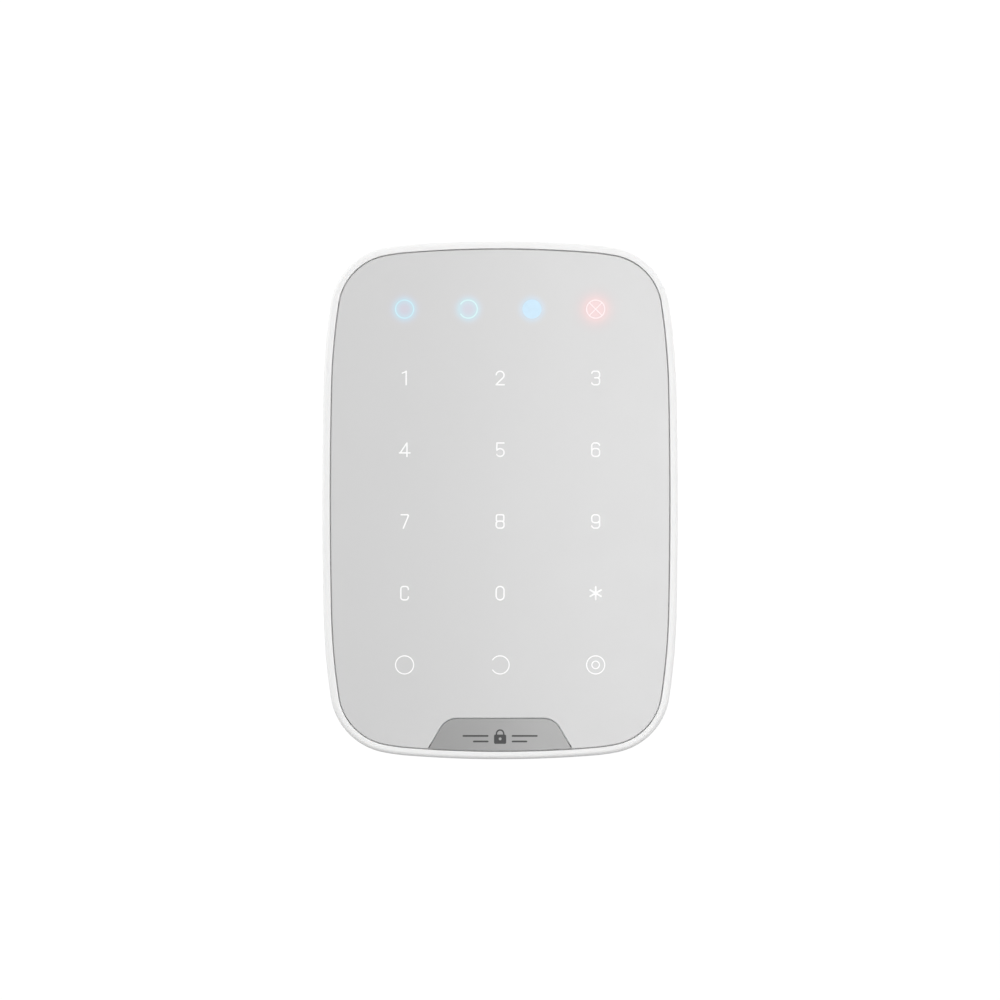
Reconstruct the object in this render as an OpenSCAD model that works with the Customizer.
// Wireless touch keypad for an alarm system, on its wall bracket.
//
// Everything is drawn lying down: x to the right, y up, z out of the wall
// towards the person using it, so "back" is the wall side. place() stands it
// up so that +Z is up and the front faces -Y. The origin is the middle of the
// four wall-screw holes, on the wall.

/* [Case] */
// Width of the case across its middle
case_w = 103; // [102:0.5:105]
// Height of the case at its middle
case_h = 150; // [149:0.5:153]
// Depth from the wall to the front of the rim
case_t = 14; // [14:0.1:15]
// Tightest radius of the four corners, at the touch panel
corner_r = 16.7; // [16:0.1:18]
// Width of the white rim around the touch panel
rim_w = 2.3; // [2.1:0.1:2.6]
// Rounding of the rim, front and back
edge_r = 2; // [1.2:0.1:2]
// Gap between the wall and the back of the case
wall_gap = 0.4; // [0.3:0.05:0.5]
// Gap at the seams around the panel and the back cover
seam = 0.28; // [0.15:0.01:0.4]

/* [Touch panel] */
// Thickness of the touch panel
panel_t = 1.1; // [0.9:0.05:1.1]
// How far the panel face sits below the rim
panel_drop = 0.1; // [0:0.05:0.15]
// Spacing of the key columns
col_pitch = 27.6; // [24:0.1:28]
// Spacing of the key rows
row_pitch = 20.72; // [18:0.02:21]
// Height of the top row of digits above the middle of the case
first_row = 35.3; // [34:0.1:36]
// Height of the row of status icons above the middle of the case
icon_row = 55.2; // [54:0.1:56]
// Spacing of the status icons
icon_pitch = 18.4; // [14:0.1:18.4]
// Height of a digit
digit_h = 4.3; // [3.6:0.1:5]
// Diameter of the round icons
icon_d = 5.55; // [5:0.05:6.4]
// Depth of the translucent legends in the panel
legend_t = 0.15; // [0.1:0.05:0.3]

/* [Badge] */
// Width of the badge along its top edge, before its corners are rounded
badge_w = 31.2; // [28:0.1:34]
// Top edge of the badge, below the middle of the case
badge_top = 63; // [62:0.1:65]
// Lean of the badge's ends
badge_lean = 30.6; // [20:0.1:32]
// Rounding of the badge's top corners
badge_r = 5.5; // [3:0.1:6]

/* [Wall bracket] */
// Spacing of the wall screws across
hole_dx = 62.4; // [60:0.1:62.6]
// Height of the upper wall screws above the middle of the case
hole_up = 58.4; // [57:0.1:58.6]
// Depth of the lower wall screws below the middle of the case
hole_down = 51.8; // [50:0.1:52]
// Diameter of the wall-screw holes
hole_d = 4.2; // [3.5:0.1:4.6]
// Thickness of the bracket plate
bracket_t = 1.2; // [1:0.1:1.2]
// Radius of the raised pads around the wall-screw holes
pad_r = 5; // [4.5:0.1:5.4]
// How far the keypad slides up to come off the bracket
slide_up = 4.6; // [4:0.1:4.7]

/* [Back cover] */
// Thickness of the back cover's outer band
cover_t = 1.2; // [1:0.1:1.4]
// Spacing of the case screws across
screw_dx = 86; // [85:0.1:86.4]
// Spacing of the case screws up and down
screw_dy = 102; // [100:0.1:103]
// Diameter of the case-screw holes
screw_hole_d = 3.3; // [3.1:0.1:3.6]

/* [Batteries] */
// Diameter of a AAA cell
cell_d = 10.2; // [10:0.1:10.2]
// Length of a AAA cell with its tip
cell_l = 44.5; // [43.5:0.1:44.8]
// Spacing of the cells
cell_pitch = 11.2; // [11:0.1:11.4]

/* [Buttons] */
// Width of the power button
power_w = 3.6; // [3.2:0.1:4.4]
// Height of the power button
power_h = 5.6; // [5:0.1:5.8]
// Travel of the power button
power_travel = 0.4; // [0.2:0.05:0.45]
// Diameter of the tamper plunger
tamper_d = 3; // [2.4:0.1:3]

/* [Quality] */
// Segments in a full turn
smooth = 64; // [32:16:128]

/* [Hidden] */
$fn = smooth;

over = 1;     // how far a cutter runs past what it cuts
gap = 0.01;   // hairline between pieces that rest on each other
sink = 0.1;   // how far joined shapes run into each other

// Levels, measured out from the wall
z_back = wall_gap;                   // back of the case
z_front = case_t;                    // front of the rim
z_face = z_front - panel_drop;       // face of the touch panel
z_panel = z_face - panel_t;          // back of the touch panel
z_ledge = z_front - 1.45;            // ledge that carries the panel
z_wall_front = z_front - 1.7;        // inner wall
z_wall_back = z_wall_front - 1;
z_board_front = z_front - 3.7;       // circuit board
z_board_back = z_board_front - 1;
z_mount_front = z_board_front + gap; // parts on the front of the board
z_mount = z_board_back - gap;        // parts on the back of the board
z_floor_back = 2.4;                  // pocket floor of the back cover
z_floor_front = 3.2;
z_seat = 3;                          // seat of the case-screw heads
z_post = 4;                          // front of the cover's screw posts
z_cell = 7.2;                        // axis of the cells
pad_t = 0.5;                         // pads touch the wall, the plate stands off it
z_bracket = pad_t + bracket_t;       // front of the bracket plate
z_tray = 5;                          // inside of the tray behind the window
tray_t = 0.8;
z_switch = z_tray + tray_t + 0.45;   // back of the power switch
mid_y = (hole_up - hole_down) / 2;   // the origin, above the middle of the case

function dir(angle) = [cos(angle), sin(angle)];
function span(mid, half) = [mid - half, mid + half];
function four(pitch) = [for (k = [-1.5:1:1.5]) k * pitch];

// Outline of the touch panel: each quarter is five arcs that run into each
// other. These are the directions in which one arc hands over to the next.
turn = [0, 1.23, 8.63, 78.63, 85.4, 90];
half_w = case_w / 2 - rim_w;
half_h = case_h / 2 - rim_w;
shoulder_r = 192.7;   // between the side and the corner
blend_r = 55.4;       // between the corner and the top
// What an arc of radius 1 covers across and up
function reach(i) = [cos(turn[i]) - cos(turn[i + 1]), sin(turn[i + 1]) - sin(turn[i])];
// The side and top arcs close the quarter at exactly half_w and half_h.
side = reach(0);
top = reach(4);
rest = [half_w, half_h] - (shoulder_r * reach(1) + corner_r * reach(2) + blend_r * reach(3));
det = side.x * top.y - top.x * side.y;
side_r = (rest.x * top.y - top.x * rest.y) / det;
top_r = (side.x * rest.y - side.y * rest.x) / det;
arc_r = [side_r, shoulder_r, corner_r, blend_r, top_r];
function arc_centre(i) = i == 0
    ? [half_w - side_r, 0]
    : arc_centre(i - 1) + (arc_r[i - 1] - arc_r[i]) * dir(turn[i]);
// Stations along a quarter, 0 to 90: [arc, direction]
arc_steps = [2, 2, 10, 2, 3];
quarter = [
    for (i = [0:4]) for (k = [0:arc_steps[i] - 1])
        [i, turn[i] + k * (turn[i + 1] - turn[i]) / arc_steps[i]],
    [4, 90]
];
// Closed outline, out outside the panel's
function outline(out) =
    let(last = len(quarter) - 1,
        pts = [for (q = quarter) arc_centre(q[0]) + (arc_r[q[0]] + out) * dir(q[1])])
    concat(
        pts,
        [for (k = [last - 1:-1:0]) [-pts[k].x, pts[k].y]],
        [for (k = [1:last]) -pts[k]],
        [for (k = [last - 1:-1:1]) [pts[k].x, -pts[k].y]]);

// Key grid
cols = [-col_pitch, 0, col_pitch];
rows = [for (k = [0:4]) first_row - k * row_pitch];
icons_x = four(icon_pitch);
// Keys with a light straight behind them
lit = [for (r = [0:4]) for (c = [0:2]) if (c != 1 || r == 0 || r == 4) [cols[c], rows[r]]];

// Places
board_screw_at = [[-37, 40], [37, 40], [-37, -40], [37, -40], [0, 63], [-16, -61]];
case_screw_at = [for (x = [-1, 1]) for (y = [-1, 1]) [x * screw_dx, y * screw_dy] / 2];
wall_hole_at = [for (x = [-1, 1]) for (y = [hole_up, -hole_down]) [x * hole_dx / 2, y]];
hook_at = [for (x = [-33.5, 33.5]) for (y = [-30, 30]) [x, y]];
tamper_at = [24, 57.5];
power_at = [5.1, -64.1];
buzzer_at = [-22, -42];
shield_at = [11.5, 43.5];

// Batteries and their holder, as half sizes
cell_x = four(cell_pitch);
cell_y = cell_l / 2 + 1.55;
holder_x = cell_pitch * 2 + 2.2;
holder_y = cell_y + 3.4;

// Pocket in the back cover, the bracket in it, and the window
pocket_x = 37.9;
pocket_top = 65;
pocket_bottom = -67.4;
bracket_x = pocket_x - 0.4;
bracket_top = pocket_top - 0.3;
bracket_bottom = pocket_bottom + slide_up + 0.5;
tray_x = 12.7;
tray_top = -59.6;

// Screws
screw_d = 2;
pilot_d = 2.04;

module place() rotate([90, 0, 0]) translate([0, -mid_y, 0]) children();

// ---------- shared shapes ----------

// Sweeps a profile round the outline. The profile is drawn with x as the
// distance out from the panel outline and y as the height off the wall.
module around() {
    for (i = [0:4]) for (mx = [0, 1]) for (my = [0, 1])
        mirror([mx, 0, 0]) mirror([0, my, 0])
            exact(arc_centre(i).x, arc_centre(i).y)
                rotate_extrude(angle = turn[i + 1] - turn[i], start = turn[i], $fn = 256)
                    exact(arc_r[i], 0) children();
}

// A shift in three steps, whole, thousandths and the rest, so that arcs with
// far-off centres still meet exactly
function whole(v) = sign(v) * floor(abs(v));
function fine(v) = sign(v) * floor((abs(v) - floor(abs(v))) * 1000) / 1000;
module exact(x, y)
    translate([whole(x), whole(y)])
        translate([fine(x), fine(y)])
            translate([x - whole(x) - fine(x), y - whole(y) - fine(y)]) children();

// Extrudes a drawing from z0 to z1
module slab(z0, z1) translate([0, 0, z0]) linear_extrude(z1 - z0) children();

// A plate that follows the outline, out outside it, with its front edge eased
module plate(out, z0, z1, ease = 0) {
    inner = out - 3;
    around() polygon([[inner, z0], [out, z0], [out, z1 - ease], [out - ease, z1], [inner, z1]]);
    slab(z0, z1) polygon(outline(out - 1.6));
}

// Block between [low, high] pairs
module box(x, y, z) translate([x[0], y[0], z[0]]) cube([x[1] - x[0], y[1] - y[0], z[1] - z[0]]);

// Block centred on a place
module block(at, size, z0, z1)
    translate([at.x - size.x / 2, at.y - size.y / 2, z0]) cube([size.x, size.y, z1 - z0]);

// Block standing on the back of the board
module part(at, size, h) block(at, size, z_board_back - h, z_mount);

module rod(at, d, z0, z1) translate([at.x, at.y, z0]) cylinder(h = z1 - z0, d = d);

// Rounded rectangle with true corners, between [low, high] pairs
module rounded(x, y, r) {
    translate([x[0] + r, y[0]]) square([x[1] - x[0] - 2 * r, y[1] - y[0]]);
    translate([x[0], y[0] + r]) square([x[1] - x[0], y[1] - y[0] - 2 * r]);
    for (cx = [x[0] + r, x[1] - r]) for (cy = [y[0] + r, y[1] - r]) translate([cx, cy]) circle(r);
}

module slot(from, to, d) {
    for (end = [from, to]) translate(end) circle(d = d);
    run = to - from;
    translate(from) rotate(atan2(run.y, run.x)) translate([0, -d / 2]) square([norm(run), d]);
}

// Cutter for the cross in a screw head
module cross(at, l, z0, z1)
    for (a = [45, 135])
        translate([at.x, at.y, z0]) rotate([0, 0, a])
            translate([-l / 2, -0.25, 0]) cube([l, 0.5, z1 - z0]);

// Coil of round wire along z: points worked out turn by turn
module coil(r_start, r_end, wire, z0, z1, turns, across = 14, sides = 6) {
    n = turns * across;
    function section(k) =
        let(t = k / n,
            r = r_start + (r_end - r_start) * t,
            z = z0 + wire / 2 + (z1 - z0 - wire) * t,
            heading = dir(360 * k / across))
        [for (s = [0:sides - 1])
            let(rim = wire / 2 * dir(360 * s / sides))
            [(r + rim.x) * heading.x, (r + rim.x) * heading.y, z + rim.y]];
    pts = [for (k = [0:n]) each section(k)];
    walls = [for (k = [0:n - 1]) for (s = [0:sides - 1])
        let(a = k * sides + s, b = k * sides + (s + 1) % sides)
        each [[a, a + sides, b + sides], [a, b + sides, b]]];
    ends = [[for (s = [0:sides - 1]) s], [for (s = [sides - 1:-1:0]) n * sides + s]];
    polyhedron(pts, concat(walls, ends));
}

// ---------- legends ----------

stroke = digit_h * 0.096;
digit_x = digit_h * 0.264;          // half width, along the middle of the stroke
digit_y = (digit_h - stroke) / 2;   // half height, the same way
upper = [0, digit_y - digit_x];     // centres of the two bowls
lower = -upper;
icon_w = 0.33;                      // stroke of the icons
icon_r = (icon_d - icon_w) / 2;

// Stroke with round ends
module bar(from, to, w = stroke) {
    a = atan2(to.y - from.y, to.x - from.x);
    polygon([
        for (k = [0:8]) from + w / 2 * dir(a + 90 + k * 22.5),
        for (k = [0:8]) to + w / 2 * dir(a - 90 + k * 22.5)
    ]);
}

module ring(r, w) difference() {
    circle(r + w / 2);
    circle(r - w / 2);
}

// Part of a ring from angle a0 to a1, with square ends
module arc(centre, r, a0, a1, w = stroke) {
    far = (r + w) * 3;
    parts = a1 - a0 > 180 ? 4 : 2;
    translate(centre) intersection() {
        ring(r, w);
        polygon([[0, 0], for (k = [0:parts]) far * dir(a0 + k * (a1 - a0) / parts)]);
    }
}

// Strokes shared by the digits: part of a bowl, a whole one, and a straight side
module bowl(centre, a0, a1) arc(centre, digit_x, a0, a1);
module loop(centre) translate(centre) ring(digit_x, stroke);
module upright(x) bar([x, lower.y], [x, upper.y]);

module glyph(g) {
    hx = digit_x;
    hy = digit_y;
    if (g == "0") {
        bowl(upper, 0, 180);
        bowl(lower, 180, 360);
        for (x = [-hx, hx]) upright(x);
    }
    if (g == "1") {
        bar([0.4 * hx, -hy], [0.4 * hx, hy]);
        bar([0.4 * hx, hy], [-0.55 * hx, 0.72 * hy]);
    }
    if (g == "2") {
        bowl(upper, -40, 170);
        bar(upper + hx * dir(-40), [-hx, -hy]);
        bar([-hx, -hy], [hx, -hy]);
    }
    if (g == "3") {
        arc([0, hy / 2], hy / 2, -90, 150);
        arc([0, -hy / 2], hy / 2, -150, 90);
    }
    if (g == "4") {
        bar([0.55 * hx, hy], [-1.15 * hx, -0.42 * hy]);
        bar([-1.3 * hx, -0.45 * hy], [1.4 * hx, -0.45 * hy]);
        bar([0.55 * hx, hy], [0.55 * hx, -hy]);
    }
    if (g == "5") {
        bar([-0.85 * hx, hy], [hx, hy]);
        bar([-0.85 * hx, hy], [-0.95 * hx, 0]);
        bowl(lower, -150, 140);
    }
    if (g == "6") {
        loop(lower);
        bowl(upper, 25, 180);
        upright(-hx);
    }
    if (g == "7") {
        bar([-hx, hy], [hx, hy]);
        bar([hx, hy], [-0.35 * hx, -hy]);
    }
    if (g == "8") {
        translate([0, hy * 0.49]) ring(hy * 0.5, stroke);
        translate([0, -hy * 0.48]) ring(hy * 0.52, stroke);
    }
    if (g == "9") {
        loop(upper);
        bowl(lower, 205, 360);
        upright(hx);
    }
    if (g == "C") {
        bowl(upper, 25, 180);
        bowl(lower, 180, 335);
        upright(-hx);
    }
    if (g == "*")
        for (a = [30, 90, 150]) bar(-0.93 * hy * dir(a), 0.93 * hy * dir(a), stroke * 1.25);
}

digits = [["1", "2", "3"], ["4", "5", "6"], ["7", "8", "9"], ["C", "0", "*"]];

module round_icon() ring(icon_r, icon_w);
module open_icon() arc([0, 0], icon_r, -147, 147, icon_w);

module digits_shape()
    for (r = [0:3]) for (c = [0:2]) translate([cols[c], rows[r]]) glyph(digits[r][c]);
module functions_shape() {
    translate([cols[0], rows[4]]) round_icon();
    translate([cols[1], rows[4]]) open_icon();
    translate([cols[2], rows[4]]) {
        round_icon();
        ring(icon_r * 0.415, icon_w);
    }
}
module standby_shape() translate([icons_x[0], icon_row]) round_icon();
module partial_shape() translate([icons_x[1], icon_row]) open_icon();
module armed_shape() translate([icons_x[2], icon_row]) circle(icon_r + icon_w / 2);
module fault_shape() translate([icons_x[3], icon_row]) {
    round_icon();
    for (a = [45, 135]) bar(-icon_r * dir(a), icon_r * dir(a), icon_w * 0.85);
}

// Legend let into the panel face; a cutter goes deeper, out past the face
module inlay(deeper = 0) slab(z_face - legend_t, z_face + deeper) children();

// ---------- front ----------

// Slot in the inner wall for the tail of the touch film
flex_slot_at = [0, -57.6];
flex_slot = [16.4, 2];
panel_ease = 0.12;    // easing of the panel's front edge
badge_gap = 0.1;      // gap on each side of the badge's edge

// Section of the white ring, with its two rounded edges
module rim_profile() intersection() {
    square([rim_w + 1, z_front + 1]);
    union() {
        for (z = [z_back + edge_r, z_front - edge_r]) translate([rim_w - edge_r, z]) circle(edge_r);
        translate([0, z_back]) square([rim_w - edge_r, z_front - z_back]);
        translate([0, z_back + edge_r]) square([rim_w, z_front - z_back - 2 * edge_r]);
    }
}

// White ring of the case, the ledge for the panel, the inner wall with its
// light windows, and the screw bosses
module housing() color([0.95, 0.95, 0.95]) place() {
    around() {
        rim_profile();
        translate([-1.6, z_wall_back]) square([1.9, z_ledge - z_wall_back]);
    }
    wall_cut = [z_wall_back - over, z_wall_front + over];
    difference() {
        union() {
            slab(z_wall_back, z_wall_front) polygon(outline(rim_w / 3));
            for (p = case_screw_at) rod(p, 5.6, z_post + 0.05, z_wall_back + 0.2);
            for (p = board_screw_at) rod(p, 4.6, z_board_front + 0.02, z_wall_back + 0.2);
        }
        // opening in front of the cells
        block([0, 0], [46.4, 47.2], wall_cut[0], wall_cut[1]);
        for (p = lit) rod(p, 3.5, wall_cut[0], wall_cut[1]);
        for (x = icons_x) rod([x, icon_row], 4.6, wall_cut[0], wall_cut[1]);
        block(flex_slot_at, flex_slot, wall_cut[0], wall_cut[1]);
        for (p = case_screw_at) rod(p, pilot_d, z_post, z_wall_back - 0.8);
        for (p = board_screw_at) rod(p, pilot_d, z_board_front - over, z_wall_front - 0.2);
    }
}

// Outline of the badge, out outside its nominal edge
function badge_corner(out) =
    let(centre = [badge_w / 2 - badge_r / tan((90 + badge_lean) / 2), -badge_top - badge_r],
        n = 16)
    [for (k = [0:n]) centre + (badge_r + out) * dir(90 - k * (90 - badge_lean) / n)];
module badge_shape(out) {
    corner = badge_corner(out);
    foot = corner[len(corner) - 1] + 20 * [sin(badge_lean), -cos(badge_lean)];
    right = concat(corner, [foot]);
    polygon(concat(right, [for (k = [len(right) - 1:-1:0]) [-right[k].x, right[k].y]]));
}

module touch_panel() color([0.84, 0.84, 0.84]) place() difference() {
    plate(-seam, z_panel, z_face, panel_ease);
    slab(z_panel - over, z_face + over) badge_shape(badge_gap);
    inlay(over) {
        digits_shape();
        functions_shape();
        standby_shape();
        partial_shape();
        armed_shape();
        fault_shape();
    }
}

module badge_plate() color([0.66, 0.66, 0.66]) place() difference() {
    intersection() {
        plate(-seam, z_panel, z_face, panel_ease);
        slab(z_panel - over, z_face + over) badge_shape(-badge_gap);
    }
    inlay(over) emblem_shape();
}

// Plain padlock between two pairs of bars
module emblem_shape() {
    shackle_r = 1.05;
    shackle_y = 0.75;
    shackle_w = 0.42;
    bar_x = 3.6;
    bar_w = 0.5;
    translate([0, -badge_top - 5.2]) {
        difference() {
            rounded([-1.75, 1.75], [-2.2, 0.5], 0.4);
            translate([0, -0.75]) circle(0.42);
        }
        arc([0, shackle_y], shackle_r, 0, 180, shackle_w);
        for (s = [-1, 1]) {
            bar([s * shackle_r, 0.4], [s * shackle_r, shackle_y], shackle_w);
            bar([s * bar_x, 0.1], [s * 10.6, 0.1], bar_w);
            bar([s * bar_x, -1.5], [s * 7.6, -1.5], bar_w);
        }
    }
}
module badge_emblem() color([0.2, 0.2, 0.2]) place() inlay() emblem_shape();

module digit_legends() color([1, 1, 1]) place() inlay() digits_shape();
module function_legends() color([1, 1, 1]) place() inlay() functions_shape();
module standby_icon() color([0.78, 0.93, 0.97]) place() inlay() standby_shape();
module partial_icon() color([0.78, 0.95, 0.95]) place() inlay() partial_shape();
module armed_icon() color([0.74, 0.9, 1]) place() inlay() armed_shape();
module fault_icon() color([1, 0.88, 0.89]) place() inlay() fault_shape();

module panel_adhesive() color([0.35, 0.35, 0.37]) place()
    around() translate([-1.4, z_ledge + gap]) square([0.9, z_panel - z_ledge - 2 * gap]);

module light_guide_film() color([0.93, 0.95, 0.97]) place()
    slab(z_ledge + gap, z_panel - 2 * gap) polygon(outline(-2));
module touch_sensor_film() color([0.85, 0.62, 0.3]) place()
    slab(z_ledge - 0.21, z_ledge - gap) polygon(outline(-2.2));

// Tail of the touch film, down through the inner wall to its socket
flex_x = [-7.5, 7.5];
flex_top = -57.5;
module sensor_flex() color([0.8, 0.5, 0.2]) place() {
    bend = z_board_front + 0.5;
    box(flex_x, [flex_top - 0.2, flex_top], [bend, z_wall_front + 0.02]);
    box(flex_x, [flex_top - 0.7, flex_top], [bend - 0.15, bend]);
}
module flex_connector() color([0.9, 0.88, 0.82]) place()
    difference() {
        box([-8, 8], [-60.2, -58.3], [z_mount_front, z_wall_back - 0.05]);
        box([-7, 7], [-60, -58], [z_board_front + 0.3, z_board_front + 0.55]);
    }

// ---------- electronics ----------

module main_board() color([0.09, 0.36, 0.2]) place() difference() {
    cut = [z_board_back - over, z_board_front + over];
    slab(z_board_back, z_board_front) polygon(outline(-4));
    // opening round the battery holder
    block([0, 0], [50.8, 56.4], cut[0], cut[1]);
    for (p = case_screw_at) rod(p, 7, cut[0], cut[1]);
    for (p = board_screw_at) rod(p, 2.3, cut[0], cut[1]);
}

module board_screws() color([0.75, 0.75, 0.77]) place() for (p = board_screw_at) difference() {
    union() {
        rod(p, 3.8, z_board_back - 1.1, z_mount);
        rod(p, screw_d, z_board_back - sink, z_wall_front - 0.35);
    }
    cross(p, 2, z_board_back - 1.2, z_board_back - 0.5);
}

// Square chip with rows of legs on all four sides; each leg bar runs right
// through the body
module chip(at, side, h, legs) {
    leg = [side + 1.6, 0.24, 0.29];
    pitch = (side - 1) / (legs - 1);
    block(at, [side, side], z_board_back - h, z_board_back - 0.08);
    for (a = [0, 90]) for (k = [0:legs - 1])
        translate([at.x, at.y, z_board_back - 0.3]) rotate([0, 0, a])
            translate([-leg.x / 2, -side / 2 + 0.5 + k * pitch - leg.y / 2, 0]) cube(leg);
}
module microcontroller() color([0.12, 0.12, 0.13]) place()
    chip([12, -40], side = 7, h = 1.2, legs = 7);
module touch_controller() color([0.12, 0.12, 0.13]) place()
    chip([-14, 42], side = 5, h = 1.1, legs = 5);

// Thin can, open towards the board, with nine holes in its back
module radio_shield() color([0.8, 0.8, 0.82]) place() difference() {
    size = [15, 13];
    wall = 0.2;
    h = 2.4;
    part(shield_at, size, h);
    block(shield_at, size - 2 * [wall, wall], z_board_back - h + wall, z_board_back + over);
    for (x = [-4, 0, 4]) for (y = [-3, 0, 3])
        rod(shield_at + [x, y], 1.2, z_board_back - 3, z_board_back - 1);
}

// Stamped strip along the top edge of the board, with a leg at each end and a
// flange folded down along its back edge
module antenna() color([0.82, 0.72, 0.42]) place() {
    half = 18;
    leg_w = 1.6;
    strip_y = [67.4, 67.7];
    back = z_board_back - 4.4;
    front = z_board_back - 1.4;
    box([-half, half], strip_y, [back, front]);
    for (x = [-half, half - leg_w]) box([x, x + leg_w], strip_y, [front - sink, z_mount]);
    box([-half, half], [66, 67.5], [back, back + 0.3]);
}

module crystal() color([0.85, 0.84, 0.8]) place()
    slab(z_board_back - 0.9, z_mount) rounded([20.5, 23.7], [40, 42.5], 0.4);

// Three storage capacitors and the small blocks around the chips
module capacitors() color([0.78, 0.62, 0.36]) place() {
    small_h = 0.8;
    for (p = [[-4, -38], [-4, -43], [-20, 50]]) part(p, [3.2, 2.6], 1.8);
    for (x = [6:3:18]) part([x, -34.2], [1.6, 0.8], small_h);
    for (x = [-24, -21.6, -8.4, -6]) part([x, 41.8], [0.8, 1.6], small_h);
    for (y = [-20:8:20]) part([30, y], [1.6, 0.8], small_h);
}

module led(at) {
    block(at, [1.6, 0.8], z_mount_front, z_board_front + 0.4);
    block(at, [1.1, 0.8], z_board_front + 0.3, z_board_front + 0.75);
}
module backlight_leds() color([1, 0.98, 0.85]) place() for (p = lit) led(p);
module status_leds() color([0.7, 0.95, 1]) place() for (x = icons_x) led([x, icon_row]);

// Round can with a hole and a step round its edge, both in its back
module buzzer() color([0.15, 0.15, 0.16]) place() difference() {
    rod(buzzer_at, 12.6, z_board_back - 3.6, z_mount);
    rod(buzzer_at, 2, z_board_back - 4, z_board_back - 2.4);
    translate([buzzer_at.x, buzzer_at.y, z_board_back - 3.7])
        rotate_extrude() translate([5.2, 0]) square([2, 0.5]);
}

// ---------- batteries ----------

// Block at one end of the bays (1 top, -1 bottom), near to far from the middle
module end_block(x, w, end, near, far, z0, z1)
    block([x, end * (near + far) / 2], [w, far - near], z0, z1);

// Contact plates as [end, runs]; a run is the first and last cell it touches
plate_runs = [
    [1, [[0, 0], [1, 2], [3, 3]]],
    [-1, [[0, 1], [2, 3]]]
];
plate_half = 3.4;     // half height of a plate
plate_side = 3.2;     // from the axis of its outer cells to its sides

// The plates, or their seats when grown; near is counted from the bay's end
module contact_plates(grow = 0, near = 0.05)
    for (row = plate_runs) for (run = row[1]) {
        x0 = cell_x[run[0]];
        x1 = cell_x[run[1]];
        end_block((x0 + x1) / 2, x1 - x0 + 2 * (plate_side + grow), row[0],
            cell_y + near, cell_y + 0.35 + grow,
            z_cell - plate_half - grow, z_cell + plate_half + grow);
    }

// Puts a piece on the axis of cell k, pointing inwards from one end of its bay
module in_bay(k, end, back)
    translate([cell_x[k], end * (cell_y + back), z_cell]) rotate([end * 90, 0, 0]) children();

// Every other cell is turned end for end
function tip_end(k) = k % 2 == 0 ? 1 : -1;

// Four bays side by side, open front and back, held between the inner wall
// and the pocket floor
module battery_holder() color([0.2, 0.2, 0.21]) place() difference() {
    block([0, 0], 2 * [holder_x, holder_y], z_floor_front + 0.05, z_wall_back - 0.05);
    for (x = cell_x)
        translate([x, cell_y, z_cell]) rotate([90, 0, 0]) cylinder(h = 2 * cell_y, d = cell_d + 0.4);
    // seats for the contact plates and slots for their tails
    contact_plates(grow = 0.1, near = -0.1);
    for (x = [cell_x[0], cell_x[3]])
        end_block(x, 2.6, 1, cell_y - 0.1, holder_y + over, z_board_front - 0.1, z_wall_back + over);
    // hollows that keep the end walls thin
    for (end = [-1, 1]) for (x = [-holder_x / 2, holder_x / 2])
        end_block(x, 8, end, cell_y + 1.4, holder_y + over, z_floor_front - over, z_wall_back - 2.4);
}

module batteries() color([0.25, 0.45, 0.3]) place() for (k = [0:3])
    in_bay(k, tip_end(k), 0.03) {
        cylinder(h = 1.2, d = 3.8);
        translate([0, 0, 1]) cylinder(h = cell_l - 1, d = cell_d);
    }

// Tinned plates; the two single ones run out to the board
module battery_contacts() color([0.8, 0.8, 0.8]) place() {
    contact_plates();
    for (x = [cell_x[0], cell_x[3]])
        end_block(x, 2, 1, cell_y + 0.05, holder_y + 2.6, z_board_front + 0.02, z_board_front + 0.3);
}

module battery_springs() color([0.75, 0.75, 0.76]) place() for (k = [0:3])
    in_bay(k, -tip_end(k), 0.02)
        coil(3.1, 2.1, wire = 0.5, z0 = 0, z1 = 2 * cell_y - cell_l + 0.03,
            turns = 3, across = 12, sides = 5);

// ---------- back ----------

module pocket(grow = 0)
    rounded([-pocket_x - grow, pocket_x + grow], [pocket_bottom - grow, pocket_top + grow], 6.6 + grow);

module back_cover() color([0.94, 0.94, 0.94]) place() difference() {
    floor_cut = [z_floor_back - over, z_floor_front + over];
    union() {
        plate(-seam, z_back, z_back + cover_t);
        slab(z_back + sink, z_floor_front) pocket(1);
        for (p = case_screw_at) rod(p, 6, z_back + sink, z_post);
        // tray behind the window
        box(span(0, tray_x + tray_t), [pocket_bottom - tray_t, tray_top + tray_t],
            [z_floor_back + sink, z_tray + tray_t]);
    }
    // pocket for the bracket
    slab(z_back - over, z_floor_back) pocket();
    // bays for the bellies of the cells
    for (x = cell_x) block([x, 0], [7.2, 2 * cell_y], floor_cut[0], floor_cut[1]);
    // room for the heads of the wall screws as the keypad slides
    for (p = wall_hole_at)
        slab(z_floor_back - over, z_floor_back + 2) slot(p, p - [0, slide_up], 9);
    // slots for the bracket's hooks
    for (p = hook_at) box(span(p.x, 3.3), [p.y - slide_up - 0.9, p.y + 0.8], floor_cut);
    // window and tray for the power button
    box(span(0, tray_x), [pocket_bottom, tray_top], [z_floor_back - over, z_tray]);
    block(power_at, [power_w + 0.6, power_h + 0.6], z_tray - over, z_tray + tray_t + over);
    // tamper plunger, buzzer grille
    rod(tamper_at, tamper_d + 0.4, floor_cut[0], floor_cut[1]);
    for (x = [-2, 0, 2]) for (y = [-2, 0, 2]) rod(buzzer_at + [x, y], 1, floor_cut[0], floor_cut[1]);
    // case screws
    for (p = case_screw_at) {
        rod(p, screw_hole_d, z_back - over, z_seat);
        rod(p, 2.3, z_seat - over, z_post + over);
    }
}

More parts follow.
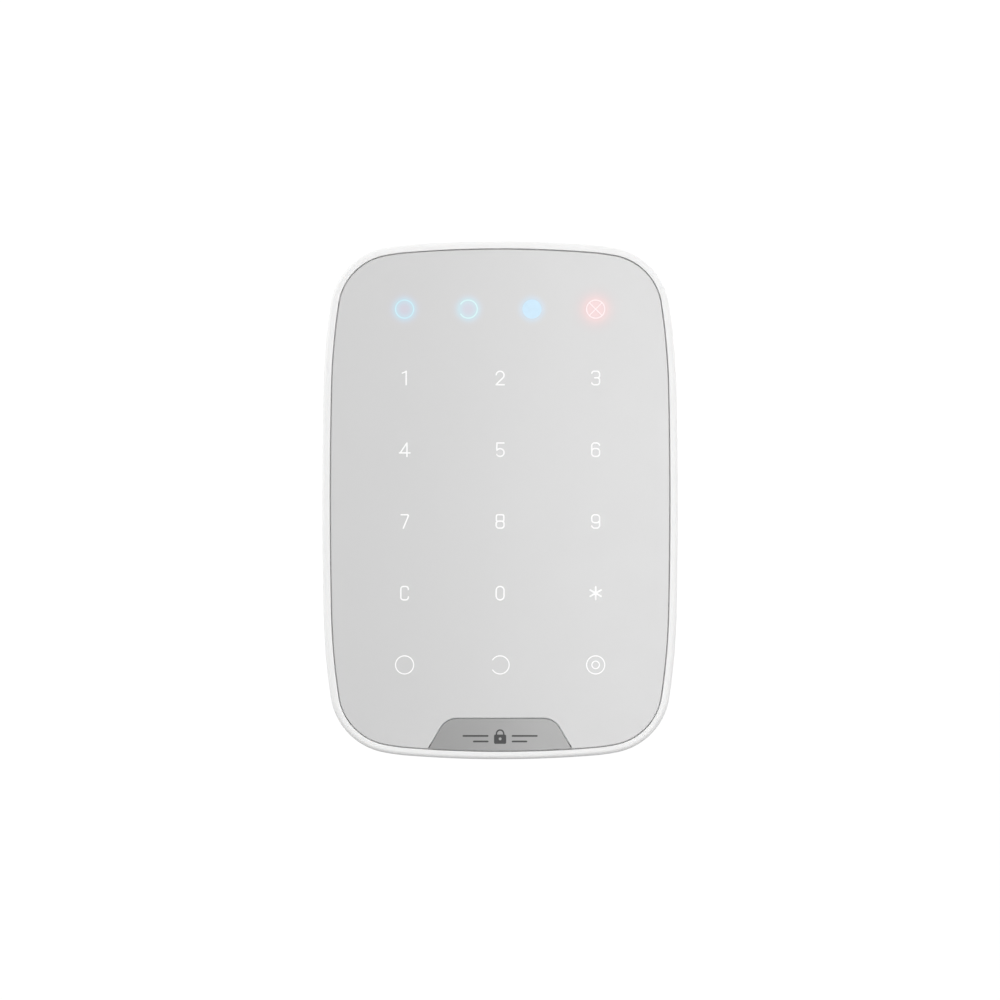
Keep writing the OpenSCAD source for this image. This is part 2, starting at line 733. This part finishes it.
module case_screws() color([0.3, 0.3, 0.32]) place() for (p = case_screw_at) difference() {
    union() {
        rod(p, 3, 1.7, z_seat - 0.02);
        rod(p, screw_d, z_seat - 0.1, z_wall_back - 1.2);
    }
    cross(p, 1.9, 1.6, 2.3);
}

module mounting_bracket() color([0.93, 0.93, 0.93]) place() {
    difference() {
        union() {
            slab(pad_t, z_bracket)
                rounded([-bracket_x, bracket_x], [bracket_bottom, bracket_top], 6.4);
            for (p = wall_hole_at) rod(p, 2 * pad_r, 0, pad_t + 0.2);
        }
        for (p = wall_hole_at) rod(p, hole_d, -over, z_bracket + over);
        slab(-over, z_bracket + over) tear_line();
        // the plate is thinner along the tear line
        slab(pad_t + 0.5, z_bracket + 0.5) tear_line(1.6);
    }
    // L-shaped hooks, pointing up
    z_hook = z_floor_front + 1.25;
    for (p = hook_at) {
        box(span(p.x, 3), span(p.y, 0.7), [z_bracket - sink, z_hook]);
        box(span(p.x, 3), [p.y - 0.7, p.y + slide_up - 0.1], [z_hook - 1.1, z_hook]);
    }
}

// Perforated line round the upper right corner: that corner stays on the wall
// if the keypad is torn off
module tear_line(grow = 0) {
    x = 21.9;
    y = 52.9;
    r = 4.6;
    w = 0.9 + grow;
    bar([x, bracket_top + 1], [x, y + 7.5], w);
    bar([x, y + r + 1], [x, y + r], w);
    arc([x + r, y + r], r, 180, 228, w);
    bar([x + 3.3, y], [x + 10.7, y], w);
    bar([x + 13.3, y], [bracket_x + 1, y], w);
}

// ---------- buttons ----------

module power_switch() color([0.16, 0.16, 0.17]) place() difference() {
    block(power_at, [6.2, 6.2], z_switch, z_mount);
    rod(power_at, 2.4, z_switch - over, z_board_back - 1.8);
}
module power_button() color([0.07, 0.07, 0.07]) place() {
    slab(2.9, z_switch - power_travel - 0.1)
        rounded(span(power_at.x, power_w / 2), span(power_at.y, power_h / 2), 0.5);
    rod(power_at, 2.3, 4, z_board_back - 2.4);
}

module tamper_switch() color([0.16, 0.16, 0.17]) place() difference() {
    part(tamper_at, [6, 6], 3);
    rod(tamper_at, 2.2, z_board_back - 4, z_board_back - 1);
}
// Tip, collar and stem
module tamper_plunger() color([0.9, 0.9, 0.88]) place() {
    rod(tamper_at, tamper_d, z_bracket + 0.1, 4.4);
    rod(tamper_at, 4.8, 4.2, 4.8);
    rod(tamper_at, 2.1, 4.6, z_board_back - 2.4);
}
module tamper_spring() color([0.75, 0.75, 0.76]) place()
    translate([tamper_at.x, tamper_at.y, 0])
        coil(1.55, 1.55, wire = 0.3, z0 = 4.82, z1 = z_board_back - 3.02, turns = 3);

mounting_bracket();
housing();
touch_panel();
badge_plate();
badge_emblem();
digit_legends();
function_legends();
standby_icon();
partial_icon();
armed_icon();
fault_icon();
panel_adhesive();
light_guide_film();
touch_sensor_film();
sensor_flex();
flex_connector();
main_board();
board_screws();
microcontroller();
touch_controller();
radio_shield();
antenna();
crystal();
capacitors();
backlight_leds();
status_leds();
buzzer();
battery_holder();
batteries();
battery_contacts();
battery_springs();
back_cover();
case_screws();
power_switch();
power_button();
tamper_switch();
tamper_plunger();
tamper_spring();
